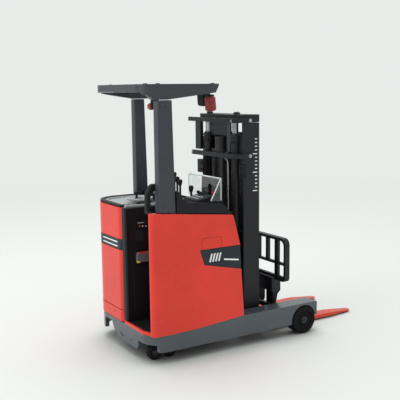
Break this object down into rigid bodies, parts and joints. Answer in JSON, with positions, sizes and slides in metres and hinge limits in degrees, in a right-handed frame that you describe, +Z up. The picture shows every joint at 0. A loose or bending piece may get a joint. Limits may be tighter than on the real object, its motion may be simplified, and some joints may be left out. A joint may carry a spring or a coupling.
{
  "type": "toy reach truck forklift",
  "caption": "Stand-on reach truck toy: red and grey body, overhead guard, lifting mast with forks that reaches forward between straddle legs on rolling wheels.",
  "frame": {"origin": "centre of the whole truck's bounding box, on the ground it stands on", "axes": "+X forwards to the fork tips, +Y to the truck's left, +Z up"},
  "size_m": [0.0954, 0.0444, 0.09],
  "materials": {
    "red_paint": "satin enamel",
    "fork_paint": "satin enamel",
    "grey_paint": "satin enamel",
    "guard_paint": "satin enamel",
    "mast_paint": "satin black",
    "black_plastic": "matte moulded",
    "badge_plastic": "semi-gloss",
    "tray_plastic": "fine satin",
    "tyre": "matte rubber",
    "chrome": "polished",
    "clear": "clear moulded",
    "red_lens": "translucent"
  },
  "bodies": {
    "chassis": {"base_frame": "grey_paint", "side_panel_right": "red_paint", "side_panel_left": "red_paint", "rear_cover_upper": "red_paint", "rear_cover_lower": "red_paint", "rear_band": "badge_plastic", "badge_left": "badge_plastic", "badge_right": "badge_plastic", "top_tray": "tray_plastic", "tray_rim": "black_plastic", "compartment_liner": "black_plastic", "floor_mat": "black_plastic", "battery_block": "mast_paint", "console": "black_plastic", "grab_handle": "tray_plastic", "hip_rail": "black_plastic", "wind_shield": "clear", "pillar_right": "guard_paint", "pillar_left": "guard_paint", "roof_guard": "guard_paint", "beacon_base": "black_plastic", "beacon_lens": "red_lens", "work_lamp_body": "black_plastic", "work_lamp_lens": "red_lens"},
    "load_wheel_left": {"load_wheel_left": "tyre"},
    "load_wheel_right": {"load_wheel_right": "tyre"},
    "drive_yoke": {"drive_yoke": "mast_paint"},
    "drive_wheel": {"drive_wheel": "tyre"},
    "caster_yoke": {"caster_yoke": "mast_paint"},
    "caster_wheel_rear": {"caster_wheel_rear": "tyre"},
    "caster_wheel_front": {"caster_wheel_front": "tyre"},
    "steering_wheel": {"steering_wheel": "tray_plastic", "steering_knob": "black_plastic"},
    "lift_lever": {"lift_lever": "black_plastic"},
    "reach_lever": {"reach_lever": "black_plastic"},
    "tilt_lever": {"tilt_lever": "black_plastic"},
    "travel_lever": {"travel_lever": "black_plastic"},
    "mast": {"reach_carriage": "mast_paint", "mast_foot": "mast_paint", "outer_rail_left": "mast_paint", "outer_rail_right": "mast_paint", "lift_cylinder_left": "mast_paint", "lift_cylinder_right": "mast_paint", "hoist_column": "mast_paint", "hose_guard_upper": "mast_paint", "hose_guard_lower": "mast_paint"},
    "inner_mast": {"inner_rail_left": "mast_paint", "inner_rail_right": "mast_paint", "lift_rod_left": "chrome", "lift_rod_right": "chrome", "top_beam": "mast_paint", "inner_cross_plate": "mast_paint"},
    "fork_carriage": {"fork_carriage": "mast_paint", "load_backrest": "mast_paint", "fork_left": "fork_paint", "fork_right": "fork_paint"},
    "reach_roller_left_rear": {"reach_roller_left_rear": "chrome"},
    "reach_roller_left_front": {"reach_roller_left_front": "chrome"},
    "reach_roller_right_rear": {"reach_roller_right_rear": "chrome"},
    "reach_roller_right_front": {"reach_roller_right_front": "chrome"}
  },
  "joints": [
    {"name": "load_wheel_left_spin", "type": "hinge", "parent": "chassis", "child": "load_wheel_left", "pos_m": [0.0156, 0.0195, 0.005], "axis": [0, 1, 0], "continuous": true},
    {"name": "load_wheel_right_spin", "type": "hinge", "parent": "chassis", "child": "load_wheel_right", "pos_m": [0.0156, -0.0195, 0.005], "axis": [0, 1, 0], "continuous": true},
    {"name": "drive_steer", "type": "hinge", "parent": "chassis", "child": "drive_yoke", "pos_m": [-0.0352, 0.009, 0.006], "axis": [0, 0, 1], "range_deg": [-90, 90]},
    {"name": "drive_wheel_spin", "type": "hinge", "parent": "drive_yoke", "child": "drive_wheel", "pos_m": [-0.0352, 0.009, 0.0056], "axis": [0, 1, 0], "continuous": true},
    {"name": "caster_swivel", "type": "hinge", "parent": "chassis", "child": "caster_yoke", "pos_m": [-0.0397, -0.015, 0.004], "axis": [0, 0, 1], "range_deg": [-15, 15]},
    {"name": "caster_rear_spin", "type": "hinge", "parent": "caster_yoke", "child": "caster_wheel_rear", "pos_m": [-0.0425, -0.015, 0.0026], "axis": [0, 1, 0], "continuous": true},
    {"name": "caster_front_spin", "type": "hinge", "parent": "caster_yoke", "child": "caster_wheel_front", "pos_m": [-0.0369, -0.015, 0.0026], "axis": [0, 1, 0], "continuous": true},
    {"name": "steering_turn", "type": "hinge", "parent": "chassis", "child": "steering_wheel", "pos_m": [-0.0368, 0.0046, 0.0506], "axis": [0, 0, 1], "continuous": true},
    {"name": "lift_lever_tilt", "type": "hinge", "parent": "chassis", "child": "lift_lever", "pos_m": [-0.023, 0.004, 0.0498], "axis": [0, 1, 0], "range_deg": [-15, 15]},
    {"name": "reach_lever_tilt", "type": "hinge", "parent": "chassis", "child": "reach_lever", "pos_m": [-0.023, 0.002, 0.0498], "axis": [0, 1, 0], "range_deg": [-15, 15]},
    {"name": "tilt_lever_tilt", "type": "hinge", "parent": "chassis", "child": "tilt_lever", "pos_m": [-0.023, 0, 0.0498], "axis": [0, 1, 0], "range_deg": [-15, 15]},
    {"name": "travel_lever_tilt", "type": "hinge", "parent": "chassis", "child": "travel_lever", "pos_m": [-0.023, -0.0075, 0.0498], "axis": [0, 1, 0], "range_deg": [-15, 15]},
    {"name": "mast_reach", "type": "slide", "parent": "chassis", "child": "mast", "axis": [1, 0, 0], "range_m": [0, 0.016]},
    {"name": "mast_lift", "type": "slide", "parent": "mast", "child": "inner_mast", "axis": [0, 0, 1], "range_m": [0, 0.05]},
    {"name": "fork_lift", "type": "slide", "parent": "inner_mast", "child": "fork_carriage", "axis": [0, 0, 1], "range_m": [0, 0.05]},
    {"name": "reach_roller_left_rear_roll", "type": "hinge", "parent": "mast", "child": "reach_roller_left_rear", "pos_m": [-0.0178, 0.017, 0.0076], "axis": [0, 1, 0], "continuous": true},
    {"name": "reach_roller_left_front_roll", "type": "hinge", "parent": "mast", "child": "reach_roller_left_front", "pos_m": [-0.0094, 0.017, 0.0076], "axis": [0, 1, 0], "continuous": true},
    {"name": "reach_roller_right_rear_roll", "type": "hinge", "parent": "mast", "child": "reach_roller_right_rear", "pos_m": [-0.0178, -0.017, 0.0076], "axis": [0, 1, 0], "continuous": true},
    {"name": "reach_roller_right_front_roll", "type": "hinge", "parent": "mast", "child": "reach_roller_right_front", "pos_m": [-0.0094, -0.017, 0.0076], "axis": [0, 1, 0], "continuous": true}
  ],
  "couplings": [
    {"joint": "fork_lift", "follows": "mast_lift", "ratio": 1}
  ]
}
